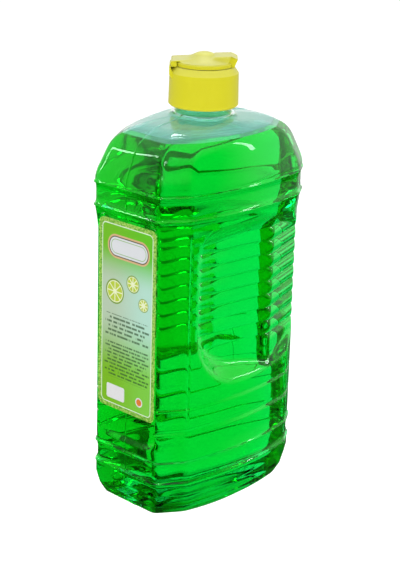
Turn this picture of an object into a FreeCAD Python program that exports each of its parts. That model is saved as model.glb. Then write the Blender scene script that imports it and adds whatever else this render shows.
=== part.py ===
"""A rectangular blow-moulded bottle with side grips, its liquid, its label and its flip-top cap.

Millimetres, +Z up, origin at the middle of the foot.  The label faces look along -Y and +Y, the
grips are on +X and -X, and the mould parts on the plane X = 0.
"""
import FreeCAD
import Part
import Sketcher
import math
import os
from FreeCAD import Placement, Rotation, Vector

# ------------------------------------------------------------------ driving sizes
SIZES = {
    # half widths of the three outlines that the blown body swells through
    "base_half_x": 32.5,
    "base_half_y": 47.6,
    "panel_half_x": 31.7,
    "panel_half_y": 47.5,
    "band_half_x": 33.0,
    "band_half_y": 49.1,
    # corner facets, bow of the grip sides, wall of the blown body
    "facet_leg_x": 11.9,
    "facet_leg_y": 12.0,
    "grip_bow": 3.8,
    "wall": 0.6,
    # grip scoop: a floor that rises from the scoop's wall to a crest and falls away behind it
    "scoop_wall_y": 34.0,
    "scoop_floor_x": 22.6,
    "scoop_floor_radius": 220.0,
    "crest_x": 28.8,
    "crest_y": 20.7,
    "rear_x": 16.0,
    "rear_y": 60.0,
    "scoop_low_z": 64.0,
    "scoop_high_z": 143.2,
    "scoop_low_round": 29.0,
    "scoop_high_round": 13.5,
    "scoop_depth": 15.5,
    "scoop_slope_run": 15.5,
    "deep_low_round": 13.5,
    "deep_high_round": 1.5,
    "scoop_margin": 10.0,
    # horizontal grooves across the scoop's floor
    "groove_first_z": 81.5,
    "groove_pitch": 6.65,
    "groove_depth": 1.1,
    "groove_half": 1.6,
    "groove_slope_deg": 33.0,
    # flats for the labels
    "flat_half_x": 19.4,
    "flat_low_z": 37.5,
    "flat_high_z": 145.5,
    "flat_depth": 0.7,
    "flat_round": 5.0,
    # label
    "label_width": 36.8,
    "label_low_z": 50.4,
    "label_height": 92.5,
    "label_round": 4.0,
    "label_thick": 0.12,
    # neck
    "neck_root_r": 15.6,
    "neck_root_z": 187.1,
    "neck_sink": 0.6,
    "neck_r": 12.6,
    "neck_foot_z": 189.5,
    "neck_top_z": 206.6,
    "neck_bore_r": 10.6,
    "neck_lip": 0.8,
    # level of the liquid
    "fill_z": 181.9,
    # pushed-up underside
    "pushup_inset": 16.0,
    "pushup_height": 3.0,
    "pushup_slope": 5.0,
    # cap body
    "cap_turn_deg": 43.6,
    "cap_low_z": 191.0,
    "cap_r": 16.2,
    "cap_draft": 0.3,
    "cap_edge_round": 0.8,
    "cap_shoulder_z": 206.4,
    "cap_bore_r": 13.8,
    "deck_r": 13.8,
    "deck_z": 209.2,
    "cap_seat_gap": 0.3,
    "plug_clearance": 0.25,
    "plug_depth": 5.0,
    "plug_wall": 1.0,
    "spout_foot_r": 4.6,
    "spout_r": 3.7,
    "spout_height": 3.0,
    "orifice_r": 1.9,
    # lid
    "lid_gap": 0.3,
    "lid_r": 13.6,
    "lid_rim_height": 2.0,
    "lid_wall": 1.1,
    "lid_peak_height": 6.2,
    "dome_foot_r": 11.1,
    "dome_turn_r": 6.6,
    "dome_turn_height": 1.7,
    "dome_hollow_r": 8.9,
    "pin_clearance": 0.25,
    "pin_depth": 1.6,
    "tab_half_width": 6.0,
    "tab_tip_x": 15.1,
    "tab_tip_height": 3.7,
    "tab_top_x": 12.4,
    "tab_top_height": 5.0,
    "tab_root_x": 4.8,
    "tab_root_height": 4.6,
    "hinge_x": 15.6,
    "hinge_height": 0.5,
    "hinge_bead_r": 0.35,
    "hinge_half_width": 7.0,
    "hinge_clearance": 0.3,
    "saddle_depth": 1.3,
    "saddle_drop": 3.5,
    "hinge_block_x": 15.3,
    "hinge_block_height": 2.6,
}

# Sections of the blown body from the foot to the edge of the dome: name, height, outline, insets in
# x and y, and which way the cavity's section moves by the wall: up over the foot, down under the dome.
SECTIONS = (
    ("foot", 0.0, "base", 8.1, 8.1, 1),
    ("heel_low", 3.5, "base", 3.5, 3.5, 1),
    ("heel_mid", 8.0, "base", 1.5, 1.5, 0),
    ("heel_high", 14.0, "base", 0.3, 0.3, 0),
    ("base_ridge_low", 20.0, "base", 0.0, 0.0, 0),
    ("base_dip_low", 22.8, "base", 0.8, 0.8, 0),
    ("base_dip_high", 27.4, "base", 0.8, 0.8, 0),
    ("base_ridge_high", 30.3, "base", 0.0, 0.0, 0),
    ("base_ledge", 31.7, "base", 0.3, 0.3, 0),
    ("panel_low", 36.0, "panel", 0.0, 0.0, 0),
    ("line_a_low", 43.7, "panel", 0.0, 0.0, 0),
    ("line_a_floor", 44.5, "panel", 0.6, 0.6, 0),
    ("line_a_roof", 47.3, "panel", 0.6, 0.6, 0),
    ("line_a_high", 48.1, "panel", 0.0, 0.0, 0),
    ("line_b_low", 55.5, "panel", 0.0, 0.0, 0),
    ("line_b_floor", 56.3, "panel", 0.6, 0.6, 0),
    ("line_b_roof", 59.1, "panel", 0.6, 0.6, 0),
    ("line_b_high", 59.9, "panel", 0.0, 0.0, 0),
    ("panel_high", 137.0, "panel", 0.0, 0.0, 0),
    ("step_high", 144.0, "band", 0.8, 0.8, 0),
    ("band_ridge_low", 148.0, "band", 0.0, 0.0, 0),
    ("band_dip_low", 150.4, "band", 0.7, 0.7, 0),
    ("band_dip_high", 156.4, "band", 0.7, 0.7, 0),
    ("band_ridge_high", 158.9, "band", 0.0, 0.0, 0),
    ("shoulder_a", 162.8, "band", 0.2, 0.4, 0),
    ("shoulder_b", 167.7, "band", 1.5, 2.6, 0),
    ("shoulder_c", 172.5, "band", 2.6, 4.6, 0),
    ("shoulder_d", 176.9, "band", 3.6, 6.4, 0),
    ("shoulder_e", 179.5, "band", 4.9, 8.8, 0),
    ("shoulder_f", 181.8, "band", 6.6, 11.7, 0),
    ("shoulder_g", 184.7, "band", 10.8, 19.3, -1),
)
GROOVES = 9
for section_name, height, outline_name, inset_x, inset_y, rise_sign in SECTIONS:
    SIZES[section_name + "_z"] = height
    SIZES[section_name + "_inset_x"] = inset_x
    SIZES[section_name + "_inset_y"] = inset_y

doc = FreeCAD.newDocument("bottle")
sheet = doc.addObject("Spreadsheet::Sheet", "Sizes")
for row_number, (alias, size_value) in enumerate(SIZES.items(), start=1):
    sheet.set("A%d" % row_number, alias)
    sheet.set("B%d" % row_number, str(size_value))
    sheet.setAlias("B%d" % row_number, alias)
doc.recompute()

X_AXIS = Vector(1, 0, 0)
Z_AXIS = Vector(0, 0, 1)
ORIGIN = Vector(0, 0, 0)


# ------------------------------------------------------------------ sizes as expressions
class Size:
    """A length that knows both its value and the expression that gives it in the document."""

    def __init__(self, value, text):
        self.value = value
        self.text = text

    def __add__(self, other):
        other = as_size(other)
        return Size(self.value + other.value, "(%s + %s)" % (self.text, other.text))

    def __sub__(self, other):
        other = as_size(other)
        return Size(self.value - other.value, "(%s - %s)" % (self.text, other.text))

    def __mul__(self, other):
        other = as_size(other)
        return Size(self.value * other.value, "(%s * %s)" % (self.text, other.text))

    def __truediv__(self, other):
        other = as_size(other)
        return Size(self.value / other.value, "(%s / %s)" % (self.text, other.text))

    def __neg__(self):
        return Size(-self.value, "(0 - %s)" % self.text)


def root_of(long_side, short_side):
    """The other leg of a right triangle, from its long side and one leg."""
    value = math.sqrt(long_side.value ** 2 - short_side.value ** 2)
    return Size(value, "sqrt(%s ^ 2 - %s ^ 2)" % (long_side.text, short_side.text))


def as_size(number):
    """A Size from a plain number, or the Size itself."""
    return number if isinstance(number, Size) else Size(float(number), "%.6f" % number)


def size(alias):
    """The size in the sheet's cell of that name."""
    return Size(SIZES[alias], "Sizes." + alias)


def bind(thing, path, length):
    """Give one property of an object a value and the expression behind it."""
    thing.setExpression(path, length.text)


# ------------------------------------------------------------------ sketch helpers
def body_sketch(body, name, role, raised=None):
    """A sketch on one of a body's own origin planes, raised along the plane's normal."""
    sketch = body.newObject("Sketcher::SketchObject", name)
    plane = [f for f in body.Origin.OriginFeatures if f.Role == role][0]
    sketch.AttachmentSupport = [(plane, "")]
    sketch.MapMode = "FlatFace"
    if raised is not None:
        bind(sketch, "AttachmentOffset.Base.z", raised)
    return sketch


def free_sketch(name, rotation, raised=None, path="Placement.Base.z"):
    """A sketch outside any body, turned from the XY plane and moved along one axis."""
    sketch = doc.addObject("Sketcher::SketchObject", name)
    sketch.Placement = Placement(ORIGIN, rotation)
    if raised is not None:
        bind(sketch, path, raised)
    return sketch


def datum(sketch, kind, places, length):
    """A dimension in a sketch, bound to a size."""
    number = sketch.addConstraint(Sketcher.Constraint(kind, *places, length.value))
    bind(sketch, "Constraints[%d]" % number, length)


def pin_point(sketch, edge, end, x, y):
    """Tie one end of an edge to a point given by two sizes."""
    datum(sketch, "DistanceX", (-1, 1, edge, end), as_size(x))
    datum(sketch, "DistanceY", (-1, 1, edge, end), as_size(y))


def vector(point):
    """The position of a point given by two sizes."""
    return Vector(as_size(point[0]).value, as_size(point[1]).value, 0)


def arc_between(start, end, radius, turn):
    """A circular arc from start to end; turn is +1 to go counter-clockwise and -1 clockwise."""
    chord = end - start
    half = chord.Length / 2
    reach = math.sqrt(max(radius * radius - half * half, 0.0))
    side = Vector(-chord.y, chord.x, 0).normalize()
    centre = start + chord * 0.5 + side * (reach * turn)
    circle = Part.Circle(centre, Z_AXIS, radius)
    first, last = (start, end) if turn > 0 else (end, start)
    angles = [math.atan2(p.y - centre.y, p.x - centre.x) for p in (first, last)]
    return Part.ArcOfCircle(circle, angles[0], angles[1])


def outline(sketch, corners):
    """A closed outline.

    Each corner is (x, y) or (x, y, radius, turn); radius and turn bend the edge to the next
    corner into an arc.
    """
    count = len(corners)
    places = [vector(corner) for corner in corners]
    ends = []
    for k, corner in enumerate(corners):
        start, end = places[k], places[(k + 1) % count]
        if len(corner) == 2:
            sketch.addGeometry(Part.LineSegment(start, end), False)
            ends.append((1, 2))
        else:
            radius, turn = corner[2], corner[3]
            sketch.addGeometry(arc_between(start, end, radius.value, turn), False)
            ends.append((1, 2) if turn > 0 else (2, 1))
    for k in range(count):
        follower = (k + 1) % count
        sketch.addConstraint(Sketcher.Constraint("Coincident", k, ends[k][1], follower, ends[follower][0]))
    for k, corner in enumerate(corners):
        pin_point(sketch, k, ends[k][0], corner[0], corner[1])
        if len(corner) == 4:
            datum(sketch, "Radius", (k,), corner[2])


def rounded_rectangle(sketch, half_x, low_y, high_y, radius):
    """A rectangle about the sketch's Y axis with equal round corners."""
    inner_x = half_x - radius
    outline(sketch, [
        (-inner_x, low_y),
        (inner_x, low_y, radius, 1),
        (half_x, low_y + radius),
        (half_x, high_y - radius, radius, 1),
        (inner_x, high_y),
        (-inner_x, high_y, radius, 1),
        (-half_x, high_y - radius),
        (-half_x, low_y + radius, radius, 1),
    ])


def extrusion(name, base, direction, forward, backward=None, taper=None, both=False):
    """A solid extrusion of a sketch, tapered forwards or both ways."""
    solid = doc.addObject("Part::Extrusion", name)
    solid.Base = base
    solid.DirMode = "Custom"
    solid.Dir = direction
    solid.Solid = True
    bind(solid, "LengthFwd", as_size(forward))
    if backward is not None:
        bind(solid, "LengthRev", as_size(backward))
    if taper is not None:
        bind(solid, "TaperAngle", -taper)
        if both:
            bind(solid, "TaperAngleRev", -taper)
    return solid


def union(name, pieces):
    """Several solids fused into one."""
    fused = doc.addObject("Part::MultiFuse", name)
    fused.Shapes = pieces
    return fused


def common(name, first, second):
    """What two solids share."""
    shared = doc.addObject("Part::MultiCommon", name)
    shared.Shapes = [first, second]
    return shared


def difference(name, base, tool):
    """One solid less another."""
    cut = doc.addObject("Part::Cut", name)
    cut.Base = base
    cut.Tool = tool
    return cut


# ------------------------------------------------------------------ the blown form
def octagon(sketch, half_x, half_y, leg_x, leg_y, bow):
    """Plan of the body: flat label sides, corner facets and grip sides bowed outwards."""
    flat = half_x - leg_x
    side = half_y - leg_y
    end = half_x - bow
    radius = (side * side + bow * bow) / (bow * 2)
    outline(sketch, [
        (end, -side, radius, 1),
        (end, side),
        (flat, half_y),
        (-flat, half_y),
        (-end, side, radius, 1),
        (-end, -side),
        (-flat, -half_y),
        (flat, -half_y),
    ])


def blown_form(name, wall):
    """The body's outer form, or with a wall the cavity inside it, as one PartDesign body."""
    body = doc.addObject("PartDesign::Body", name)
    profiles = []
    for section, _, plan, _, _, rise in SECTIONS:
        half_x = size(plan + "_half_x") - size(section + "_inset_x") - wall
        half_y = size(plan + "_half_y") - size(section + "_inset_y") - wall
        sketch = body_sketch(body, name + "_" + section, "XY_Plane", size(section + "_z") + wall * rise)
        octagon(sketch, half_x, half_y, size("facet_leg_x"), size("facet_leg_y"), size("grip_bow"))
        profiles.append(sketch)
    # the dome ends in a regular octagon round the neck's root
    root = size("neck_root_r") - wall
    top = body_sketch(body, name + "_neck_root", "XY_Plane", size("neck_root_z") - wall)
    corner = root * (1 - math.tan(math.pi / 8))
    octagon(top, root, root, corner, corner, as_size(0.3))
    profiles.append(top)
    loft = body.newObject("PartDesign::AdditiveLoft", name + "_loft")
    loft.Profile = profiles[0]
    loft.Sections = profiles[1:]
    loft.Ruled = True
    body.Tip = loft
    # flats that carry the labels, front and back
    depth = size("panel_half_y") - size("flat_depth") - wall
    for side_name, direction in (("front", 1), ("back", -1)):
        sketch = body_sketch(body, name + "_" + side_name + "_flat", "XZ_Plane", depth * direction)
        rounded_rectangle(sketch, size("flat_half_x") + wall, size("flat_low_z") - wall,
                          size("flat_high_z") + wall, size("flat_round") + wall)
        pocket = body.newObject("PartDesign::Pocket", name + "_" + side_name + "_pocket")
        pocket.Profile = sketch
        pocket.Reversed = direction > 0
        bind(pocket, "Length", size("band_half_y") - depth + 1)
        body.Tip = pocket
    return body


def scoop_plan(sketch, wall, deeper):
    """Plan of the space that the scoop takes: wall, concave floor, crest and rear slope."""
    outside = size("band_half_x") + 8
    sink = wall + deeper
    outline(sketch, [
        (outside, -size("scoop_wall_y") - wall),
        (outside, size("rear_y")),
        (size("rear_x") - sink, size("rear_y")),
        (size("crest_x") - sink, size("crest_y"), size("scoop_floor_radius"), 1),
        (size("scoop_floor_x") - sink, -size("scoop_wall_y") - wall),
    ])


def scoop_side(sketch, wall, run, low_round, high_round):
    """Side view of the scoop: open to the rear, deep rounded foot and a tighter round above."""
    front = -size("scoop_wall_y") - wall + run
    low = size("scoop_low_z") - wall + run
    high = size("scoop_high_z") + wall - run
    outline(sketch, [
        (front + low_round, low),
        (size("rear_y"), low),
        (size("rear_y"), high),
        (front + high_round, high, high_round, 1),
        (front, high - high_round),
        (front, low + low_round, low_round, 1),
    ])


def scoops(name, wall):
    """Both grip scoops with their grooves, as one tool."""
    funnel = doc.addObject("PartDesign::Body", name + "_side")
    mouth = body_sketch(funnel, name + "_mouth", "YZ_Plane", size("band_half_x"))
    scoop_side(mouth, wall, as_size(0), size("scoop_low_round"), size("scoop_high_round"))
    deep = body_sketch(funnel, name + "_deep", "YZ_Plane", size("band_half_x") - size("scoop_depth"))
    scoop_side(deep, wall, size("scoop_slope_run"), size("deep_low_round"), size("deep_high_round"))
    side = funnel.newObject("PartDesign::AdditiveLoft", name + "_funnel")
    side.Profile = mouth
    side.Sections = [deep]
    side.Ruled = True
    funnel.Tip = side
    margin = size("scoop_margin")
    plan_sketch = free_sketch(name + "_plan", Rotation(), size("scoop_low_z") - margin)
    scoop_plan(plan_sketch, wall, as_size(0))
    spaces = [extrusion(name + "_plan_space", plan_sketch, Z_AXIS,
                        size("scoop_high_z") - size("scoop_low_z") + margin * 2)]
    for k in range(GROOVES):
        groove_sketch = free_sketch("%s_groove_%d" % (name, k), Rotation(),
                                    size("groove_first_z") + size("groove_pitch") * k)
        scoop_plan(groove_sketch, wall, size("groove_depth"))
        spaces.append(extrusion("%s_blade_%d" % (name, k), groove_sketch, Z_AXIS, size("groove_half"),
                                backward=size("groove_half"), taper=size("groove_slope_deg"), both=True))
    right = common(name + "_right", union(name + "_spaces", spaces), funnel)
    left = doc.addObject("Part::Mirroring", name + "_left")
    left.Source = right
    left.Base = ORIGIN
    left.Normal = X_AXIS
    return union(name + "_both", [right, left])


def turned(name, points):
    """A PartDesign body turned round +Z from a closed profile of (radius, height) points."""
    body = doc.addObject("PartDesign::Body", name)
    sketch = body_sketch(body, name + "_profile", "XZ_Plane")
    outline(sketch, points)
    turn = body.newObject("PartDesign::Revolution", name + "_turn")
    turn.Profile = sketch
    turn.ReferenceAxis = (sketch, ["V_Axis"])
    turn.Angle = 360
    body.Tip = turn
    return body


def neck_outside():
    """The neck from inside the dome up to its rim."""
    sunk = size("neck_root_z") - size("neck_sink")
    return turned("neck_outside", [
        (0, sunk),
        (size("neck_root_r") - size("neck_sink"), sunk),
        (size("neck_r"), size("neck_foot_z")),
        (size("neck_r"), size("neck_top_z") - size("neck_lip")),
        (size("neck_r") - size("neck_lip"), size("neck_top_z")),
        (0, size("neck_top_z")),
    ])


def neck_bore():
    """The way through the neck, flared where it opens under the dome."""
    sunk = size("neck_root_z") - size("neck_sink") - size("wall") * 2
    return turned("neck_bore", [
        (0, sunk),
        (size("neck_root_r") - size("neck_sink") - size("wall") * 3, sunk),
        (size("neck_bore_r"), size("neck_foot_z") - size("wall")),
        (size("neck_bore_r"), size("neck_top_z") + 1),
        (0, size("neck_top_z") + 1),
    ])


def pushup(name, wall):
    """The hollow that is pushed up into the underside."""
    body = doc.addObject("PartDesign::Body", name)
    profiles = []
    for level, height, inset in (
            ("rim", as_size(0), size("pushup_inset")),
            ("roof", size("pushup_height") + wall, size("pushup_inset") + size("pushup_slope"))):
        sketch = body_sketch(body, name + "_" + level, "XY_Plane", height)
        shrink = inset - wall
        leg = size("facet_leg_x") - size("pushup_slope")
        octagon(sketch, size("base_half_x") - shrink, size("base_half_y") - shrink, leg, leg, as_size(1))
        profiles.append(sketch)
    loft = body.newObject("PartDesign::AdditiveLoft", name + "_loft")
    loft.Profile = profiles[0]
    loft.Sections = profiles[1:]
    loft.Ruled = True
    body.Tip = loft
    return body


# ------------------------------------------------------------------ the bottle and its fill
def bottle_and_liquid():
    """The blown bottle with its cavity, and the liquid that fills the cavity to its level."""
    none = as_size(0)
    outer = union("outer", [
        difference("outer_gripped", blown_form("outer_form", none), scoops("outer_scoop", none)),
        neck_outside(),
    ])
    wall = size("wall")
    hollow = difference("hollow_gripped", blown_form("hollow_form", wall), scoops("hollow_scoop", wall))
    cavity = difference("cavity", hollow, pushup("pushup_roof", wall))
    emptied = difference("emptied", outer, union("inside", [cavity, neck_bore()]))
    bottle = difference("bottle_shape", emptied, pushup("pushup_space", none))
    above = doc.addObject("Part::Box", "above_level")
    for side, half in (("Length", "band_half_x"), ("Width", "band_half_y")):
        bind(above, side, size(half) * 2)
    bind(above, "Height", size("neck_top_z") - size("fill_z"))
    bind(above, "Placement.Base.x", -size("band_half_x"))
    bind(above, "Placement.Base.y", -size("band_half_y"))
    bind(above, "Placement.Base.z", size("fill_z"))
    liquid = difference("liquid_shape", cavity, above)
    return bottle, liquid


def label():
    """The label: a thin round-cornered sheet that lies on the front flat."""
    body = doc.addObject("PartDesign::Body", "label_body")
    back = size("panel_half_y") - size("flat_depth")
    sketch = body_sketch(body, "label_outline", "XZ_Plane", back)
    rounded_rectangle(sketch, size("label_width") / 2, size("label_low_z"),
                      size("label_low_z") + size("label_height"), size("label_round"))
    pad = body.newObject("PartDesign::Pad", "label_pad")
    pad.Profile = sketch
    bind(pad, "Length", size("label_thick"))
    body.Tip = pad
    return body


# ------------------------------------------------------------------ the cap
def cap_base():
    """The cap's body: skirt, deck, spout, plug that seals the neck, and the hinge's bead."""
    under = size("neck_top_z") + size("cap_seat_gap")
    plug_r = size("neck_bore_r") - size("plug_clearance")
    plug_low = under - size("plug_depth")
    spout_z = size("deck_z") + size("spout_height")
    body = turned("cap_base_body", [
        (size("cap_bore_r"), size("cap_low_z")),
        (size("cap_r") - size("cap_edge_round"), size("cap_low_z")),
        (size("cap_r"), size("cap_low_z") + size("cap_edge_round")),
        (size("cap_r") - size("cap_draft"), size("cap_shoulder_z")),
        (size("deck_r"), size("deck_z")),
        (size("spout_foot_r"), size("deck_z")),
        (size("spout_r"), spout_z),
        (size("orifice_r"), spout_z),
        (size("orifice_r"), under),
        (plug_r - size("plug_wall"), under),
        (plug_r - size("plug_wall"), plug_low),
        (plug_r, plug_low),
        (plug_r, under),
        (size("cap_bore_r"), under),
    ])
    # a saddle on the skirt's shoulder carries the film hinge's round bead
    sketch = body_sketch(body, "hinge_saddle", "XZ_Plane")
    bead = size("hinge_bead_r")
    axis_z = size("deck_z") + size("hinge_height")
    saddle_x = -size("hinge_x") + bead + size("saddle_depth")
    outline(sketch, [
        (-size("hinge_x") - bead, size("cap_shoulder_z") - 0.5),
        (saddle_x, size("cap_shoulder_z") - size("saddle_drop")),
        (saddle_x, size("cap_shoulder_z")),
        (-size("hinge_x") + bead, size("deck_z") - 0.7),
        (-size("hinge_x") + bead, axis_z, bead * 1.02, 1),
        (-size("hinge_x") - bead, axis_z),
    ])
    pad = body.newObject("PartDesign::Pad", "hinge_bead")
    pad.Profile = sketch
    pad.Midplane = True
    bind(pad, "Length", size("hinge_half_width") * 2)
    body.Tip = pad
    return body


def cap_lid():
    """The lid: a low drum with a domed middle over the spout, a raised thumb tab and a hinge block."""
    low = size("deck_z") + size("lid_gap")
    rim = low + size("lid_rim_height")
    peak = low + size("lid_peak_height")
    wall = size("lid_wall")
    orifice_top = size("deck_z") + size("spout_height")
    pin_r = size("orifice_r") - size("pin_clearance")
    turn_r = size("dome_turn_r")
    turn_z = rim + size("dome_turn_height")
    # the dome's crown is a ball's cap, and the flare below it leaves the rim level
    crown_drop = peak - turn_z
    crown_r = (turn_r * turn_r + crown_drop * crown_drop) / (crown_drop * 2)
    flare_run = size("dome_foot_r") - turn_r
    flare_drop = size("dome_turn_height")
    flare_r = (flare_run * flare_run + flare_drop * flare_drop) / (flare_drop * 2)
    body = turned("cap_lid_body", [
        (0, orifice_top - size("pin_depth")),
        (pin_r - 0.5, orifice_top - size("pin_depth")),
        (pin_r, orifice_top),
        (pin_r, peak - wall * 1.6),
        (size("dome_hollow_r"), rim - wall),
        (size("lid_r") - wall, rim - wall),
        (size("lid_r") - wall, low),
        (size("lid_r"), low),
        (size("lid_r"), rim - 0.5),
        (size("lid_r") - 0.5, rim),
        (size("dome_foot_r"), rim, flare_r, -1),
        (turn_r, turn_z, crown_r, 1),
        (0, peak),
    ])
    tab_sketch = body_sketch(body, "tab_profile", "XZ_Plane")
    outline(tab_sketch, [
        (size("lid_r") - wall, low),
        (size("lid_r"), low),
        (size("tab_tip_x"), low + size("tab_tip_height")),
        (size("tab_top_x"), low + size("tab_top_height")),
        (size("tab_root_x"), low + size("tab_root_height")),
        (size("tab_root_x"), low + size("tab_root_height") - wall / 2),
        (size("dome_foot_r"), rim - wall / 2),
        (size("lid_r") - wall, rim - wall),
    ])
    tab = body.newObject("PartDesign::Pad", "tab")
    tab.Profile = tab_sketch
    tab.Midplane = True
    bind(tab, "Length", size("tab_half_width") * 2)
    body.Tip = tab
    # the hinge block is hollowed round the bead, and stops short of its axis so that it swings clear
    axis_z = size("deck_z") + size("hinge_height")
    hollow = size("hinge_bead_r") + size("hinge_clearance")
    short = size("hinge_x") - size("hinge_block_x")
    block_sketch = body_sketch(body, "block_profile", "XZ_Plane")
    block_top = low + size("hinge_block_height")
    outline(block_sketch, [
        (-size("lid_r") + wall, low),
        (-size("hinge_x") + hollow, low),
        (-size("hinge_x") + hollow, axis_z, hollow, 1),
        (-size("hinge_block_x"), axis_z + root_of(hollow, short)),
        (-size("hinge_block_x"), block_top - 0.6),
        (-size("hinge_block_x") + 0.6, block_top),
        (-size("lid_r") + wall, rim),
    ])
    block = body.newObject("PartDesign::Pad", "hinge_block")
    block.Profile = block_sketch
    block.Midplane = True
    bind(block, "Length", size("hinge_half_width") * 2)
    body.Tip = block
    return body


# ------------------------------------------------------------------ the parts
def finished(name, source, turn=None):
    """A named copy of a finished shape, turned about +Z where the cap stands askew."""
    part = doc.addObject("Part::Feature", name)
    part.Label = name
    part.Shape = source.Shape.copy()
    if turn is not None:
        part.Placement = Placement(ORIGIN, Rotation(Z_AXIS, turn.value)).multiply(part.Placement)
    return part


bottle_shape, liquid_shape = bottle_and_liquid()
label_shape = label()
base_shape = cap_base()
lid_shape = cap_lid()
doc.recompute()
cap_turn = size("cap_turn_deg")
PARTS = [
    finished("bottle", bottle_shape),
    finished("liquid", liquid_shape),
    finished("label", label_shape),
    finished("cap_base", base_shape, cap_turn),
    finished("cap_lid", lid_shape, cap_turn),
]
doc.recompute()

for thing in doc.Objects:
    if "Invalid" in thing.State or "Error" in thing.State:
        raise RuntimeError("%s failed: %s" % (thing.Label, thing.State))
os.makedirs("parts", exist_ok=True)
for part in PARTS:
    if part.Shape.isNull() or not part.Shape.isValid() or len(part.Shape.Solids) != 1:
        raise RuntimeError("%s is not one valid solid" % part.Label)
    part.Shape.exportStep("parts/%s.step" % part.Label)
    box = part.Shape.BoundBox
    print("%-9s %9.1f mm3  x %.1f..%.1f  y %.1f..%.1f  z %.1f..%.1f" % (
        part.Label, part.Shape.Volume, box.XMin, box.XMax, box.YMin, box.YMax, box.ZMin, box.ZMax))
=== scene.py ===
"""Looks of the bottle: clear blown shell, green liquid, printed label and yellow flip-top cap.

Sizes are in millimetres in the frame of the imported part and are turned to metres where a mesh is
made; the studio's are in metres.  The front, with the label, looks along -Y, the grips are on +X
and -X.
"""
import bpy
import math
import numpy as np
from mathutils import Matrix, Vector


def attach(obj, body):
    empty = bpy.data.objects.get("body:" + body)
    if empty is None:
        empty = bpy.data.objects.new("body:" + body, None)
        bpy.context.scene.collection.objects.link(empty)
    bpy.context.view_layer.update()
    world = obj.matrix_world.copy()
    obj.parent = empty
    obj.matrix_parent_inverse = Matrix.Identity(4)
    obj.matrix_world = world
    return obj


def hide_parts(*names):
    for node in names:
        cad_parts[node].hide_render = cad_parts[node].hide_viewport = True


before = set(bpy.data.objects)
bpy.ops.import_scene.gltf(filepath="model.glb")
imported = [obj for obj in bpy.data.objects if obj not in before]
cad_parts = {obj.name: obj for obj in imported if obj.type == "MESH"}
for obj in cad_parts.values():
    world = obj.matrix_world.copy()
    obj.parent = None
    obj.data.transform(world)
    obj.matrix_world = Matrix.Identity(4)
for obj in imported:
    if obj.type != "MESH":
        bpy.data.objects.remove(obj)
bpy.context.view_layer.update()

MM = 0.001

# ------------------------------------------------------------------ sizes of the blown body
FACET_LEG_X = 11.9
FACET_LEG_Y = 12.0
GRIP_BOW = 3.8
GRIP_FROM_X = 12.0
WALL = 0.6
OUTLINES = {"base": (32.5, 47.6), "panel": (31.7, 47.5), "band": (33.0, 49.1)}
# height, outline and insets in x and y of each section, and how the cavity's section moves by the wall
SECTIONS = (
    (0.0, "base", 8.1, 8.1, 1),
    (3.5, "base", 3.5, 3.5, 1),
    (8.0, "base", 1.5, 1.5, 0),
    (14.0, "base", 0.3, 0.3, 0),
    (19.3, "base", 0.3, 0.3, 0),
    (19.6, "base", 0.0, 0.0, 0),
    (20.3, "base", 0.0, 0.0, 0),
    (20.6, "base", 0.4, 0.4, 0),
    (22.8, "base", 0.8, 0.8, 0),
    (27.4, "base", 0.8, 0.8, 0),
    (29.7, "base", 0.5, 0.5, 0),
    (30.0, "base", 0.0, 0.0, 0),
    (30.7, "base", 0.0, 0.0, 0),
    (31.0, "base", 0.4, 0.4, 0),
    (32.0, "base", 0.5, 0.5, 0),
    (36.0, "panel", 0.0, 0.0, 0),
    (45.2, "panel", 0.0, 0.0, 0),
    (45.6, "panel", 0.4, 0.4, 0),
    (46.2, "panel", 0.4, 0.4, 0),
    (46.6, "panel", 0.0, 0.0, 0),
    (57.0, "panel", 0.0, 0.0, 0),
    (57.4, "panel", 0.4, 0.4, 0),
    (58.0, "panel", 0.4, 0.4, 0),
    (58.4, "panel", 0.0, 0.0, 0),
    (137.0, "panel", 0.0, 0.0, 0),
    (144.0, "band", 0.8, 0.8, 0),
    (147.2, "band", 0.4, 0.4, 0),
    (147.5, "band", 0.0, 0.0, 0),
    (148.2, "band", 0.0, 0.0, 0),
    (148.5, "band", 0.5, 0.5, 0),
    (150.8, "band", 0.7, 0.7, 0),
    (156.0, "band", 0.7, 0.7, 0),
    (158.1, "band", 0.5, 0.5, 0),
    (158.4, "band", 0.0, 0.0, 0),
    (159.1, "band", 0.0, 0.0, 0),
    (159.4, "band", 0.35, 0.35, 0),
    (162.8, "band", 0.3, 0.5, 0),
    (167.7, "band", 1.5, 2.6, 0),
    (172.5, "band", 2.6, 4.6, 0),
    (176.9, "band", 3.6, 6.4, 0),
    (179.5, "band", 4.9, 8.8, 0),
    (181.8, "band", 6.6, 11.7, 0),
    (184.7, "band", 10.8, 19.3, -1),
)

# the dome between the top section and the neck's root
DOME_BOW = 0.9 * GRIP_BOW
DOME_ROWS_OUTSIDE = 8
DOME_ROWS_INSIDE = 6

# the neck; the steps are a radius and a height over the root or the foot, or how far in and down from
# the lip's outer edge, or how far out and down from the lip's inner edge
NECK_ROOT_R = 15.6
NECK_ROOT_Z = 187.1
NECK_R = 12.6
NECK_FOOT_Z = 189.5
NECK_TOP_Z = 206.6
NECK_BORE_R = 10.6
NECK_STEPS_OVER_ROOT = ((14.8, 0.6), (13.7, 1.4), (12.9, 2.0))
NECK_STRAIGHT_OVER_FOOT = 0.4
NECK_ROWS_OVER_FOOT = 1.0
NECK_ROWS_UNDER_TOP = 0.7
NECK_ROW_STEP = 0.5
LIP_STEPS_OUTSIDE = ((0.1, 0.45), (0.3, 0.15), (0.7, 0.0))
LIP_STEPS_INSIDE = ((0.3, 0.0), (0.05, 0.2), (0.0, 0.6))
BORE_ROWS_UNDER_TOP = 3.0
BORE_ROWS_OVER_FOOT = 0.6
BORE_ROWS = 5
BORE_STEPS_OVER_FOOT = ((10.8, -0.2), (11.6, -1.1))
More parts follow.
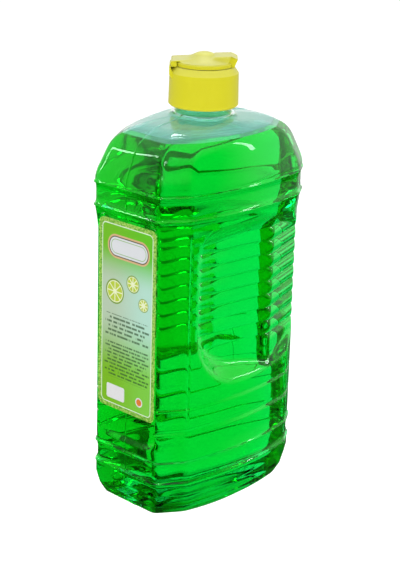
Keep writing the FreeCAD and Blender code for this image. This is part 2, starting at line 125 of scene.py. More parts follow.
BORE_STEPS_OVER_ROOT = ((12.8, 0.4), (14.0, -0.3))
THREAD_PITCH = 3.2
THREAD_RIDGE = 0.8
THREAD_FADE = 1.5
THREAD_FROM_FOOT = 2.8
THREAD_FROM_TOP = 2.2

# the smoothed shoulder, the rounded edges, the grooves beside the grips and the mould's seam
SHOULDER_Z = 160.5
SHOULDER_REACH = 3.0
SHOULDER_SAMPLES = 11
SHOULDER_BLEND = 1.5
EDGE_REACH = 2.2
EDGE_LINE_INSET = 1.3
EDGE_LINE_HALF = 0.45
EDGE_LINE_DEPTH = 0.45
EDGE_LINE_LOW_Z = 48.0
EDGE_LINE_HIGH_Z = 140.0
EDGE_LINE_FADE = 3.0
SEAM_HALF = 0.25
SEAM_RIDGE = 0.3

# the hollow under the foot
PUSHUP_INSET = 16.0
PUSHUP_SLOPE = 5.0
PUSHUP_HEIGHT = 3.0
PUSHUP_RIM = 1.0
PUSHUP_MIDDLE_SHARE = 0.35

# the liquid, and where mist, liquid and clear lip meet on the wall's inside
FILL_Z = 181.9
FILL_PRESSED = 0.08
FILL_RIM_SHRINK = 0.985
LEVEL_TOLERANCE = 0.01
MIST_BELOW_FILL = 2.0
MIST_PAST_ROOT = 0.2
CLEAR_LIP = 1.0

# the grip scoops and their grooves
SCOOP_FRONT = 34.0
SCOOP_FLOOR_X = 22.6
SCOOP_FLOOR_RADIUS = 220.0
SCOOP_LOW_Z = 64.0
SCOOP_HIGH_Z = 143.2
SCOOP_LOW_ROUND = 29.0
SCOOP_HIGH_ROUND = 13.5
SCOOP_START_X = 33.0
SCOOP_WALL_ROUND = 1.2
SCOOP_EDGE_ROUND = 0.6
CREST_X = 28.8
CREST_Y = 20.7
CREST_ROUND = 1.0
REAR_X = 16.0
REAR_Y = 60.0
GROOVES = 9
GROOVE_FIRST_Z = 81.5
GROOVE_PITCH = 6.65
GROOVE_DEPTH = 1.25
GROOVE_PARTS_OUTSIDE = (0.0, 0.03, 0.08, 0.16, 0.27, 0.39, 0.5)
GROOVE_PARTS_INSIDE = (0.0, 0.2, 0.5)
RIB_FULLNESS = 0.7
RIB_FADE = 0.62
RIB_FADE_START = 9.0
RIB_FADE_LENGTH = 14.0
RIB_RETURN_LENGTH = 4.0

# the grid's rows: steps in the stretches below and above the grooves, and the room left beside the
# grooves and the creases; the inside's first and last stretch have finer steps
FOOT_TOP_Z = 36.0
OUTSIDE_STEPS_BELOW = (1.2, 1.5)
OUTSIDE_STEPS_ABOVE = (1.3, 1.0)
OUTSIDE_ROOM = 1.2
CREASE_ROOM = 0.3
INSIDE_STEPS_BELOW = (0.9, 2.6)
INSIDE_STEPS_ABOVE = (2.6, 0.9)
INSIDE_ROOM = 2.0
INSIDE_FLOOR_STRETCH = 3.5
INSIDE_TOP_STRETCH = 8.0

# the grid's columns over a quarter of the plan, as shares of the flat, the facet and the grip side
COLUMNS_ON_FLAT = (0.12, 0.26, 0.40, 0.54, 0.68, 0.80, 0.88, 0.93, 0.965, 0.985)
COLUMNS_ON_FACET = (0.0, 0.02, 0.05, 0.10, 0.18, 0.30, 0.43, 0.57, 0.70, 0.82, 0.90, 0.95, 0.98)
NEAR_EDGE = 0.93
COLUMNS_BY_EDGE = 11
COLUMNS_ON_GRIP = 26

# flats that carry the labels
FLAT_HALF_X = 19.4
FLAT_LOW_Z = 37.5
FLAT_HIGH_Z = 145.5
FLAT_Y = 46.8
FLAT_ROUND = 5.0

# ------------------------------------------------------------------ the lid's skin
CAP_TURN = 43.6
LID_LOW_Z = 209.5
LID_RIM = 2.03
LID_PEAK = 6.2
LID_WAVE_SHARE = 0.75
LID_FOOT_R = 13.2
LID_SKIN_R = 13.35
LID_SKIN = 0.5
LID_SKIN_SHRINK = 0.995
# the skin's columns, and its rings as shares of its reach: first, last and how many, then the closer ones
LID_COLUMN_DEGREES = 3
LID_RINGS = (0.04, 0.9, 24)
LID_RINGS_BY_EDGE = (0.93, 0.96, 0.98, 1.0)
TAB_END_X = 15.1
TAB_HALF_Y = 6.05
TAB_ROUND = 0.9
HINGE_END_X = 15.28
HINGE_HALF_Y = 7.05
HINGE_ROUND = 0.5
# planes over the tab and the hinge block: a height, its place along x, or across y for a SIDE, and a slope
TAB_TOP = (4.65, 4.8, 0.053)
TAB_END = (3.75, TAB_END_X, -0.48)
TAB_ROOT = (2.0, 1.5, 0.8)
TAB_SIDE = (LID_RIM, 7.6, -2.0)
HINGE_TOP = (2.7, -13.0, 0.10)
HINGE_END = (LID_RIM + 0.05, -HINGE_END_X, 1.0)
HINGE_ROOT = (2.0, -2.0, -0.5)
HINGE_SIDE = (LID_RIM, 8.0, -0.8)
# the bevel on the CAD nodes that stay
CAD_EDGE_ROUND = 0.2
CAD_EDGE_ANGLE = 35

# ------------------------------------------------------------------ the label and its print
LABEL_X = (-19.0, 18.4)
LABEL_Z = (50.4, 142.9)
LABEL_ROUND = 3.2
LABEL_CORNER_POINTS = 9
LABEL_THICK = 0.12
LABEL_BORDER = 2.3
LABEL_BORDER_ROUND = 2.2
LABEL_LINE = 0.22
LABEL_GAP = 0.01
# how strongly the label's back, which faces into the bottle, glows: a painted glow
PAINTED_GLOW_ON_LABEL_BACK = 0.6
PLAQUE_PLACE = (0.5, 130.5)
PLAQUE_HALF = (12.6, 4.6)
PLAQUE_ROUND = 4.4
PLAQUE_RIM_WIDTH = 1.1
PLAQUE_EDGE_HALF = 0.22
PLAQUE_LINE_INSET = 1.3
PLAQUE_LINE_HALF = 0.16
# place and radius of each slice; pitch, top, bottom and half width of each block of bars
SLICES = ((-8.2, 108.6, 6.0), (3.6, 114.8, 4.2), (10.6, 106.4, 3.2))
SEGMENTS = 8
SPOKE_WIDTH = 1.1
PITH_SHARE = 0.88
FLESH_SHARE = 0.80
BARS = ((2.1, 97.5, 86.5, 13.0), (1.75, 83.5, 66.0, 13.6))
# a bar's half height as a share of the pitch, and the noise that parts the bars like words
BAR_HALF = 0.24
BAR_STRENGTH = 0.8
BAR_SOFTNESS = 0.15
WORD_PITCH = 0.8
WORD_LEVEL = 0.43
WORD_CRISPNESS = 12.0
ROW_SPREAD = 7.3
RAG = 1.6
RAG_TURN = 2.4
BOX_PLACE = (-7.2, 58.6)
BOX_HALF = (6.0, 3.6)
BOX_ROUND = 1.0
DOT_PLACE = (8.6, 58.2)
DOT_RADIUS = 2.3
DOT_RIM = 0.6

# ------------------------------------------------------------------ colours and surfaces
# light bends where it comes in or out of clear stuff, and not where it goes from the wall to the liquid
IOR_IN_AIR = 1.42
IOR_WITHIN = 1.0
SMOOTH = 0.0
MISTY = 0.12
WAVE_SCALE = 28.0
WAVE_HEIGHT = 0.4
SEAM_LINE_HALF = 0.35
SEAM_LINE_SHARE = 0.25
CLEAR_COLOUR = (0.90, 0.97, 0.94)
CLEAR_SHINE = (0.75, 1.0, 0.9, 1)
WET_COLOUR = (1, 1, 1)
# the mist is hazy with drops, and its teal is a painted sheen
MISTED_PAINTED_SHEEN = (0.28, 0.94, 0.82)
MISTED_THROUGH = 0.74
# the neck's inside is painted green, a painted glow standing in for light carried from the liquid
NECK_PAINTED_GLOW = (0.10, 0.72, 0.34)
NECK_THROUGH = 0.62
LIQUID_COLOUR = (0.9, 1.0, 0.95)
LIQUID_ABSORBS = (0.0, 0.937, 0.60, 1)
LIQUID_DENSITY = 120.0

# the cap's yellow on its sides, and a paler yellow painted on what faces up as painted light from above
YELLOW_SIDE = (0.69, 0.65, 0.022)
YELLOW_TOP_PAINTED_LIGHT = (0.82, 0.81, 0.20)
YELLOW_ROUGHNESS = 0.32
YELLOW_GLOSS = 0.15
YELLOW_DEPTH = 0.25
GRAIN_SCALE = 900.0
GRAIN_HEIGHT = 0.04

# the label's field at a height: its left and its right colour, and from where to where it turns
FIELD_LOW = ((0.21, 0.53, 0.01), (0.22, 0.65, 0.06), (-12.0, 16.0))
FIELD_PALE = ((0.50, 0.63, 0.46), (0.48, 0.77, 0.64), (-12.0, 14.0))
FIELD_HIGH = ((0.17, 0.54, 0.01), (0.12, 0.59, 0.01), (-12.0, 16.0))
LOW_TO_PALE_Z = (68.0, 100.0)
PALE_TO_HIGH_Z = (112.0, 131.0)
SPECKLE_DARK = (0.11, 0.40, 0.02)
SPECKLE_PALE = (0.44, 0.70, 0.13)
BORDER_LINE = (0.75, 0.90, 0.70)
RIND = (0.20, 0.36, 0.02)
PITH = (0.86, 0.92, 0.60)
FLESH = (0.52, 0.66, 0.05)
BAR_INK = (0.03, 0.10, 0.03)
PLAQUE_RIM = (0.72, 0.46, 0.24)
PLAQUE_FACE = (0.74, 0.76, 0.78)
PLAQUE_EDGE = (0.03, 0.06, 0.02)
PLAQUE_LINE = (0.25, 0.50, 0.12)
BOX_FACE = (0.80, 0.80, 0.80)
DOT_FACE = (0.78, 0.22, 0.03)
LABEL_BACK = (0.92, 0.95, 0.92)
# the colour of the painted glow on the label's back
PAINTED_GLOW_COLOUR = (0.8, 1.0, 0.8, 1)
LABEL_ROUGHNESS = 0.28
LABEL_WAVE_SCALE = 60.0
LABEL_WAVE_HEIGHT = 0.2
SPECKLE_SCALE = 1400.0
SPECKLE_STEP = (0.36, 0.64)
INK_SOFTNESS = 0.1


# ------------------------------------------------------------------ meshes
def make_mesh(name, vertices, faces, material, body, smooth=True):
    """An object from vertices in millimetres, riding on a body."""
    mesh = bpy.data.meshes.new(name)
    mesh.from_pydata([tuple(v) for v in np.asarray(vertices) * MM], [], faces)
    mesh.validate()
    mesh.update()
    mesh.polygons.foreach_set("use_smooth", [smooth] * len(mesh.polygons))
    mesh.materials.append(material)
    obj = bpy.data.objects.new(name, mesh)
    bpy.context.scene.collection.objects.link(obj)
    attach(obj, body)
    return obj


def paint_faces(piece, material, indices, low, high):
    """Another material on the faces whose corners are all among the indices and between two heights."""
    mesh = piece.data
    mesh.materials.append(material)
    place = len(mesh.materials) - 1
    chosen = set(indices)
    for polygon in mesh.polygons:
        corners = polygon.vertices
        inside = all(k in chosen for k in corners)
        if inside and all(low <= mesh.vertices[k].co.z / MM <= high for k in corners):
            polygon.material_index = place


def ring_faces(rows, columns):
    """Quads between neighbouring rings of a closed grid, counted row by row."""
    faces = []
    for row in range(rows - 1):
        low = row * columns
        high = low + columns
        for k in range(columns):
            follower = (k + 1) % columns
            faces.append((low + k, low + follower, high + follower, high + k))
    return faces


def fan(ring_start, columns, centre, upwards):
    """Triangles from a ring to a centre point."""
    faces = []
    for k in range(columns):
        a, b = ring_start + k, ring_start + (k + 1) % columns
        faces.append((a, b, centre) if upwards else (b, a, centre))
    return faces


# ------------------------------------------------------------------ the plan of the body
def plan_columns():
    """Columns of the grid round the plan, closer together beside each edge.

    Each column is x = half_x * a + b and y = half_y * c + d, so that it keeps its place on the
    flat, the facet or the bowed side at every height.
    """
    quarter = [(0.0, 0.0, -1.0, 0.0), (0.0, SEAM_HALF, -1.0, 0.0), (0.0, SEAM_HALF * 2, -1.0, 0.0)]
    for t in COLUMNS_ON_FLAT:
        quarter.append((t, -t * FACET_LEG_X, -1.0, 0.0))
    for t in COLUMNS_ON_FACET:
        quarter.append((1.0, -FACET_LEG_X + t * (FACET_LEG_X - GRIP_BOW), -1.0, t * FACET_LEG_Y))
    by_the_edge = np.linspace(1.0, NEAR_EDGE, COLUMNS_BY_EDGE)[:-1]
    on_the_grip = np.linspace(NEAR_EDGE, 0.0, COLUMNS_ON_GRIP)
    for t in np.concatenate((by_the_edge, on_the_grip)):
        quarter.append((1.0, -GRIP_BOW * t * t, -t, t * FACET_LEG_Y))
    quarter = np.array(quarter)
    back = quarter[::-1][1:] * np.array((1, 1, -1, -1))
    right = np.vstack((quarter, back))
    left = right[::-1][1:-1] * np.array((-1, -1, 1, 1))
    return np.vstack((right, left))


COLUMNS = plan_columns()
COUNT = len(COLUMNS)
ON_SEAM = (COLUMNS[:, 0] == 0) & (COLUMNS[:, 1] == 0)


def plan_ring(half_x, half_y):
    """Points of one ring."""
    x = COLUMNS[:, 0] * half_x + COLUMNS[:, 1]
    y = COLUMNS[:, 2] * half_y + COLUMNS[:, 3]
    return np.stack((x, y), axis=1)


def round_ring(radius):
    """Points of a circular ring, each in the direction of its column at the neck's root."""
    octagon = plan_ring(NECK_ROOT_R + GRIP_BOW, NECK_ROOT_R + GRIP_BOW)
    angle = np.arctan2(octagon[:, 1], octagon[:, 0])
    return np.stack((np.cos(angle), np.sin(angle)), axis=1) * radius


def section_sizes(wall):
    """Heights and half sizes of the sections, moved inwards by a wall."""
    rows = []
    for z, outline, inset_x, inset_y, rise in SECTIONS:
        half_x, half_y = OUTLINES[outline]
        rows.append((z + rise * wall, half_x - inset_x - wall, half_y - inset_y - wall))
    return np.array(rows).T


# ------------------------------------------------------------------ scoops and flats
def sizes_at(level, known, crisp=True):
    """Half sizes of the outline at a height; a crisp profile is rounded on the shoulder alone."""
    z_known, x_known, y_known = known
    share = min(max((level - SHOULDER_Z) / SHOULDER_BLEND, 0.0), 1.0) if crisp else 1.0
    reach = min(share * SHOULDER_REACH, level - z_known[0], z_known[-1] - level)
    span = level + np.linspace(-reach, reach, SHOULDER_SAMPLES)
    return np.interp(span, z_known, x_known).mean(), np.interp(span, z_known, y_known).mean()


def soft_min(a, b, radius):
    """The smaller of two values, rounded where they cross."""
    mix = np.clip(0.5 + 0.5 * (b - a) / radius, 0.0, 1.0)
    return b * (1 - mix) + a * mix - radius * mix * (1 - mix)


def soft_max(a, b, radius):
    """The larger of two values, rounded where they cross."""
    return -soft_min(-a, -b, radius)


def inside_outline(y, z, wall):
    """How far a point of the side view lies inside the scoop's outline."""
    front = -SCOOP_FRONT - wall
    low = SCOOP_LOW_Z - wall
    high = SCOOP_HIGH_Z + wall
    depth = np.minimum(np.minimum(y - front, z - low), high - z)
    for centre_z, side, radius in (
            (low + SCOOP_LOW_ROUND, -1, SCOOP_LOW_ROUND),
            (high - SCOOP_HIGH_ROUND, 1, SCOOP_HIGH_ROUND)):
        centre_y = front + radius
        corner = (y < centre_y) & ((z - centre_z) * side > 0)
        depth = np.where(corner, radius - np.hypot(y - centre_y, z - centre_z), depth)
    return depth


def scoop_floor(y, z, wall):
    """x of the scoop's ribbed floor: concave up to the crest, falling behind it."""
    chord = (CREST_X - SCOOP_FLOOR_X) / (CREST_Y + SCOOP_FRONT)
    along = y + SCOOP_FRONT
    span = CREST_Y + SCOOP_FRONT
    hollow = along * (span - along) / (2 * SCOOP_FLOOR_RADIUS)
    rising = SCOOP_FLOOR_X + chord * along - hollow
    falling = CREST_X - (y - CREST_Y) * (CREST_X - REAR_X) / (REAR_Y - CREST_Y)
    floor = soft_min(rising, falling, CREST_ROUND)
    turns = (z - GROOVE_FIRST_Z) / GROOVE_PITCH
    ribbed = (turns > -0.5) & (turns < GROOVES - 0.5)
    pillow = np.abs(np.sin(np.pi * turns)) ** RIB_FULLNESS
    faded = np.clip((along - RIB_FADE_START) / RIB_FADE_LENGTH, 0, 1)
    back = np.clip((CREST_Y - y) / RIB_RETURN_LENGTH, 0, 1)
    depth = GROOVE_DEPTH * (1 - RIB_FADE * (faded * back))
    return floor - wall - np.where(ribbed, depth * (1 - pillow), 0.0)


def carve(x, y, z, wall):
    """Points of the body after the scoops and the label flats are taken away."""
    side = np.sign(x)
    reach = np.abs(x)
    walls = SCOOP_START_X - inside_outline(y, z, wall)
    scoop = soft_max(scoop_floor(y, z, wall), walls, SCOOP_WALL_ROUND)
    on_grip = reach > GRIP_FROM_X
    reach = np.where(on_grip, soft_min(reach, scoop, SCOOP_EDGE_ROUND), reach)
    inner_x = FLAT_HALF_X + wall
    past_x = np.maximum(np.abs(x) - (inner_x - FLAT_ROUND), 0)
    above = z - (FLAT_HIGH_Z - FLAT_ROUND)
    below = (FLAT_LOW_Z + FLAT_ROUND) - z
    past_z = np.maximum(np.maximum(above, below), 0)
    on_flat = np.hypot(past_x, past_z) < FLAT_ROUND
    far = np.abs(y)
    far = np.where(on_flat, np.minimum(far, FLAT_Y - wall), far)
    return side * reach, np.sign(y) * far


def rounded_ring(ring, reach):
    """A ring with its corners rounded: each point is the mean of the outline within a reach of it."""
    loop = np.vstack((ring, ring[:1]))
    steps = np.hypot(*np.diff(loop, axis=0).T)
    along = np.concatenate(((0.0,), np.cumsum(steps)))
    length = along[-1]
    middles = (loop[1:] + loop[:-1]) / 2
    area = np.vstack(((0.0, 0.0), np.cumsum(middles * steps[:, None], axis=0)))
    places = np.concatenate((along[:-1] - length, along[:-1], along + length))
    areas = np.vstack((area[:-1] - area[-1], area[:-1], area + area[-1]))
    rounded = []
    for k in range(2):
        ahead = np.interp(along[:-1] + reach, places, areas[:, k])
        behind = np.interp(along[:-1] - reach, places, areas[:, k])
        rounded.append((ahead - behind) / (2 * reach))
    return np.stack(rounded, axis=1)


def heights(stops, steps):
    """Heights from the first stop to the last, evenly spaced at about the step of each stretch."""
    levels = [stops[0]]
    for low, high, step in zip(stops[:-1], stops[1:], steps):
        count = max(1, round((high - low) / step))
        levels.extend(np.linspace(low, high, count + 1)[1:])
    return np.array(levels)


def groove_heights(parts):
    """Heights in the ribbed zone, at the same parts of the pitch on both sides of each groove."""
    turns = np.arange(GROOVES)[:, None] + np.concatenate((-np.array(parts), parts))
    return GROOVE_FIRST_Z + GROOVE_PITCH * np.unique(np.round(turns, 4))


def outside_heights(top):
    """Heights for the outside: one on each crease, and even steps that keep clear of them."""
    grooves = groove_heights(GROOVE_PARTS_OUTSIDE)
    below = heights((0.0, FOOT_TOP_Z, grooves[0] - OUTSIDE_ROOM), OUTSIDE_STEPS_BELOW)
    above = heights((grooves[-1] + OUTSIDE_ROOM, SHOULDER_Z, top), OUTSIDE_STEPS_ABOVE)
    creases = np.array([row[0] for row in SECTIONS if row[0] < SHOULDER_Z] + [top])
    even = np.concatenate((below, grooves, above))
    clear = [level for level in even if np.abs(creases - level).min() > CREASE_ROOM]
    return np.sort(np.concatenate((creases, clear)))


def inside_heights(low, high):
    """Heights for the inside, which follows the grooves but not the beads."""
    grooves = groove_heights(GROOVE_PARTS_INSIDE)
    below = heights((low, INSIDE_FLOOR_STRETCH + low, grooves[0] - INSIDE_ROOM), INSIDE_STEPS_BELOW)
    above = heights((grooves[-1] + INSIDE_ROOM, high - INSIDE_TOP_STRETCH, high), INSIDE_STEPS_ABOVE)
    return np.concatenate((below, grooves, above))


def edge_line(ring, half_y, z):
    """Depth of the upright groove that frames each grip side beside the corner facets."""
    off = (np.abs(ring[:, 1]) - (half_y - FACET_LEG_Y - EDGE_LINE_INSET)) / EDGE_LINE_HALF
    below = np.clip((z - EDGE_LINE_LOW_Z) / EDGE_LINE_FADE, 0, 1)
    above = np.clip((EDGE_LINE_HIGH_Z - z) / EDGE_LINE_FADE, 0, 1)
    return EDGE_LINE_DEPTH * (below * above) * np.exp(-off * off)


def body_grid(wall, fine, top=math.inf):
    """Rings of the body up to a height or its last section, as an array of rows, columns and x, y, z."""
    known = section_sizes(wall)
    low = known[0][0]
    high = min(top, known[0][-1])
    z = outside_heights(high) if fine else inside_heights(low, high)
    rings = []
    for level in z:
        half_x, half_y = sizes_at(level, known, fine)
        ring = rounded_ring(plan_ring(half_x, half_y), EDGE_REACH)
        ring[:, 0] -= np.sign(ring[:, 0]) * edge_line(ring, half_y, level)
        x, y = carve(ring[:, 0], ring[:, 1], level, wall)
        rings.append(np.stack((x, y, np.full(COUNT, level)), axis=1))
    grid = np.array(rings)
    if fine:
        bare = (z < FLAT_LOW_Z) | (z > FLAT_HIGH_Z)
        ridge = SEAM_RIDGE * bare[:, None] * ON_SEAM
        widest = OUTLINES["band"][1]
        grid[:, :, 1] = np.clip(grid[:, :, 1] + np.sign(grid[:, :, 1]) * ridge, -widest, widest)
    return grid


def dome_grid(wall, steps):
    """Rings from the top section of the body to the neck's root, turning from octagon to circle."""
    known = section_sizes(wall)
    start_z = known[0][-1]
    half_x, half_y = sizes_at(start_z, known)
    end_z = NECK_ROOT_Z - wall
    rings = []
    for t in np.arange(1, steps + 1) / steps:
        octagon = plan_ring(
            half_x + (NECK_ROOT_R - wall + DOME_BOW - half_x) * t,
            half_y + (NECK_ROOT_R - wall - half_y) * t)
        circle = round_ring(NECK_ROOT_R - wall)
        share = t * t * t
        ring = octagon * (1 - share) + circle * share
        level = start_z + (end_z - start_z) * t
        rings.append(np.column_stack((ring, level + np.where(ON_SEAM, SEAM_RIDGE, 0.0))))
    return np.array(rings)


def lathe_grid(profile):
    """Rings of revolution through (radius, height) points."""
    return np.array([np.column_stack((round_ring(r), np.full(COUNT, z))) for r, z in profile])


def underside_grid(wall):
    """Rings from the middle of the underside out to the foot."""
    half_x, half_y = OUTLINES["base"]
    rings = []
    for share, inset, z in (
            (PUSHUP_MIDDLE_SHARE, PUSHUP_INSET + PUSHUP_SLOPE, PUSHUP_HEIGHT),
            (1.0, PUSHUP_INSET + PUSHUP_SLOPE, PUSHUP_HEIGHT),
            (1.0, PUSHUP_INSET + PUSHUP_SLOPE / 2, PUSHUP_HEIGHT / 2),
            (1.0, PUSHUP_INSET, 0.0),
            (1.0, PUSHUP_INSET - PUSHUP_RIM, 0.0)):
        shrink = inset - wall * np.sign(z)
        ring = plan_ring(half_x - shrink, half_y - shrink) * share
        rings.append(np.column_stack((ring, np.full(COUNT, z + wall))))
    return np.array(rings)


def thread_ridge(z, angle):
    """How far the neck's thread stands out at a height and an angle."""
    turns = (z - NECK_FOOT_Z) / THREAD_PITCH - angle / (2 * math.pi)
    ridge = np.clip(1.0 - np.abs((turns % 1.0) - 0.5) * 4.0, 0.0, 1.0)
    begins = np.clip((z - NECK_FOOT_Z - THREAD_FROM_FOOT) / THREAD_FADE, 0, 1)
    ends = np.clip((NECK_TOP_Z - THREAD_FROM_TOP - z) / THREAD_FADE, 0, 1)
    return THREAD_RIDGE * ridge * (begins * ends)


def neck_grid():
    """The outside of the neck with its thread, up to its lip."""
    profile = [(radius, NECK_ROOT_Z + over) for radius, over in NECK_STEPS_OVER_ROOT]
    profile.append((NECK_R, NECK_FOOT_Z + NECK_STRAIGHT_OVER_FOOT))
    levels = np.arange(NECK_FOOT_Z + NECK_ROWS_OVER_FOOT, NECK_TOP_Z - NECK_ROWS_UNDER_TOP, NECK_ROW_STEP)
    profile += [(NECK_R, z) for z in levels]
    profile += [(NECK_R - inwards, NECK_TOP_Z - down) for inwards, down in LIP_STEPS_OUTSIDE]
    grid = lathe_grid(profile)
    direction = round_ring(1.0)
    angle = np.arctan2(direction[:, 1], direction[:, 0])
    for row, (radius, z) in enumerate(profile):
        if radius == NECK_R:
            grid[row, :, :2] += direction * thread_ridge(z, angle)[:, None]
    return grid


def bore_grid():
    """The inside of the neck from its lip down to the dome."""
    top, bottom = NECK_TOP_Z - BORE_ROWS_UNDER_TOP, NECK_FOOT_Z + BORE_ROWS_OVER_FOOT
    profile = [(NECK_BORE_R + outwards, NECK_TOP_Z - down) for outwards, down in LIP_STEPS_INSIDE]
    profile += [(NECK_BORE_R, z) for z in np.linspace(top, bottom, BORE_ROWS)]
    profile += [(radius, NECK_FOOT_Z + over) for radius, over in BORE_STEPS_OVER_FOOT]
    profile += [(radius, NECK_ROOT_Z + over) for radius, over in BORE_STEPS_OVER_ROOT]
    return lathe_grid(profile)


def closed_surface(grid, first_z, last_z=None):
    """Vertices and faces of stacked rings, closed by a fan below the first and above the last."""
    rows = len(grid)
    vertices = [tuple(p) for p in grid.reshape(-1, 3)]
    faces = ring_faces(rows, COUNT)
    centre = len(vertices)
    vertices.append((0.0, 0.0, first_z))
    faces += fan(0, COUNT, centre, False)
    if last_z is not None:
        vertices.append((0.0, 0.0, last_z))
        faces += fan((rows - 1) * COUNT, COUNT, centre + 1, True)
    return vertices, faces


# ------------------------------------------------------------------ materials
def new_material(name):
    """A node material with a Principled shader; returns the material, its tree and the shader."""
    material = bpy.data.materials.new(name)
    material.use_nodes = True
    tree = material.node_tree
    shader = tree.nodes["Principled BSDF"]
    return material, tree, shader


def node(tree, kind, **settings):
    """A new node with some of its properties set."""
    made = tree.nodes.new(kind)
    for key, value in settings.items():
        setattr(made, key, value)
    return made


def feed(tree, socket, value):
    """Gives an input a number, a plain colour or another socket."""
    if isinstance(value, (int, float)):
        socket.default_value = value
    elif isinstance(value, tuple):
        socket.default_value = (*value, 1)
    else:
        tree.links.new(value, socket)


def math_node(tree, operation, *values):
    """A Math node on sockets or numbers; returns its output."""
    made = node(tree, "ShaderNodeMath", operation=operation)
    for socket, value in zip(made.inputs, values):
        feed(tree, socket, value)
    return made.outputs[0]


def object_axes(tree):
    """Sockets of x, y and z in the object's own metres."""
    where = node(tree, "ShaderNodeTexCoord")
    split = node(tree, "ShaderNodeSeparateXYZ")
    tree.links.new(where.outputs["Object"], split.inputs[0])
    return where.outputs["Object"], split.outputs


def noise_texture(tree, vector, scale, detail, dimensions="3D"):
    """A noise texture; returns its height."""
    noise = node(tree, "ShaderNodeTexNoise", noise_dimensions=dimensions)
    noise.inputs["Scale"].default_value = scale
    noise.inputs["Detail"].default_value = detail
    tree.links.new(vector, noise.inputs["Vector"])
    return noise.outputs["Fac"]


def bump_on(tree, shader, height, distance):
    """A bump of some depth in metres on a shader."""
    bump = node(tree, "ShaderNodeBump")
    bump.inputs["Distance"].default_value = distance
    tree.links.new(height, bump.inputs["Height"])
    tree.links.new(bump.outputs[0], shader.inputs["Normal"])


def clear_material(name, colour, roughness, ior, through=1.0):
    """A see-through material."""
    material, _, shader = new_material(name)
    shader.inputs["Base Color"].default_value = (*colour, 1)
    shader.inputs["Transmission Weight"].default_value = through
    shader.inputs["Roughness"].default_value = roughness
    shader.inputs["IOR"].default_value = ior
    return material


def clear_plastic():
    """Clear blown bottle plastic, slowly wavy, with the mould's parting line on x = 0."""
    material = clear_material("clear_pet", CLEAR_COLOUR, SMOOTH, IOR_IN_AIR)
    tree = material.node_tree
    shader = tree.nodes["Principled BSDF"]
    shader.inputs["Specular Tint"].default_value = CLEAR_SHINE
    where, axes = object_axes(tree)
    waves = noise_texture(tree, where, WAVE_SCALE, 1.0)
    off_line = math_node(tree, "DIVIDE", math_node(tree, "ABSOLUTE", axes["X"]), SEAM_LINE_HALF * MM)
    line = math_node(tree, "SMOOTH_MIN", off_line, 1.0, 0.5)
    height = math_node(tree, "MULTIPLY_ADD", line, -SEAM_LINE_SHARE, waves)
    bump_on(tree, shader, height, WAVE_HEIGHT * MM)
    return material


def green_liquid(name, ior):
    """Green cologne: red and blue are absorbed on the way through."""
    material = clear_material(name, LIQUID_COLOUR, SMOOTH, ior)
    tree = material.node_tree
    absorb = node(tree, "ShaderNodeVolumeAbsorption")
    absorb.inputs["Color"].default_value = LIQUID_ABSORBS
    absorb.inputs["Density"].default_value = LIQUID_DENSITY
    output = tree.nodes["Material Output"]
    tree.links.new(absorb.outputs[0], output.inputs["Volume"])
    return material


def yellow_plastic():
    """Slightly translucent yellow polypropylene with a fine grain, painted paler on what faces up as
    painted light from above.
    """
    material, tree, shader = new_material("yellow_plastic")
    shader.inputs["Roughness"].default_value = YELLOW_ROUGHNESS
    shader.inputs["Specular IOR Level"].default_value = YELLOW_GLOSS
    axes = node(tree, "ShaderNodeSeparateXYZ")
    place = node(tree, "ShaderNodeTexCoord")
    tree.links.new(place.outputs["Normal"], axes.inputs[0])
    # painted light: faces that look up are painted paler, as if lit from above
    painted_top_light_share = math_node(tree, "MAXIMUM", axes.outputs["Z"], 0.0)
    colour = blended(tree, YELLOW_SIDE, YELLOW_TOP_PAINTED_LIGHT, math_node(tree, "POWER", painted_top_light_share, 2.0))
    tree.links.new(colour, shader.inputs["Base Color"])
    shader.inputs["Subsurface Weight"].default_value = YELLOW_DEPTH
    shader.inputs["Subsurface Radius"].default_value = (4 * MM, 4 * MM, MM)
    shader.inputs["Subsurface Scale"].default_value = 1.0
    where, _ = object_axes(tree)
    bump_on(tree, shader, noise_texture(tree, where, GRAIN_SCALE, 2.0), GRAIN_HEIGHT * MM)
    return material


def box_distance(tree, x, z, place, half, radius):
    """Distance in millimetres outside a rounded rectangle, less than 0 inside it."""
    parts = []
    for along, centre, reach in ((x, place[0], half[0]), (z, place[1], half[1])):
        away = math_node(tree, "ABSOLUTE", math_node(tree, "SUBTRACT", along, centre))
        parts.append(math_node(tree, "SUBTRACT", away, reach - radius))
    squares = [math_node(tree, "POWER", math_node(tree, "MAXIMUM", part, 0.0), 2.0) for part in parts]
    outer = math_node(tree, "SQRT", math_node(tree, "ADD", squares[0], squares[1]))
    inner = math_node(tree, "MINIMUM", math_node(tree, "MAXIMUM", parts[0], parts[1]), 0.0)
    return math_node(tree, "SUBTRACT", math_node(tree, "ADD", outer, inner), radius)


def line_distance(tree, distance, half_width):
    """How far a distance is outside a line of some half width that is drawn where it is 0."""
    return math_node(tree, "SUBTRACT", math_node(tree, "ABSOLUTE", distance), half_width)


def inked(tree, below, ink, distance, amount=1.0, softness=INK_SOFTNESS):
    """A colour laid over another where a distance is below 0."""
    edge = node(tree, "ShaderNodeMapRange")
    edge.inputs["From Min"].default_value = softness
    edge.inputs["From Max"].default_value = -softness
    edge.inputs["To Max"].default_value = amount
    tree.links.new(distance, edge.inputs["Value"])
    return blended(tree, below, ink, edge.outputs[0])


def blended(tree, first, second, share):
    """A mix of two colours, each a socket or a plain colour."""
    mix = node(tree, "ShaderNodeMix", data_type="RGBA")
    for index, value in ((0, share), (6, first), (7, second)):
        feed(tree, mix.inputs[index], value)
    return mix.outputs[2]


def stepped(tree, value, low, high):
    """A smooth step of a socket between two values."""
    step = node(tree, "ShaderNodeMapRange", interpolation_type="SMOOTHSTEP")
    step.inputs["From Min"].default_value = low
    step.inputs["From Max"].default_value = high
    tree.links.new(value, step.inputs["Value"])
    return step.outputs[0]


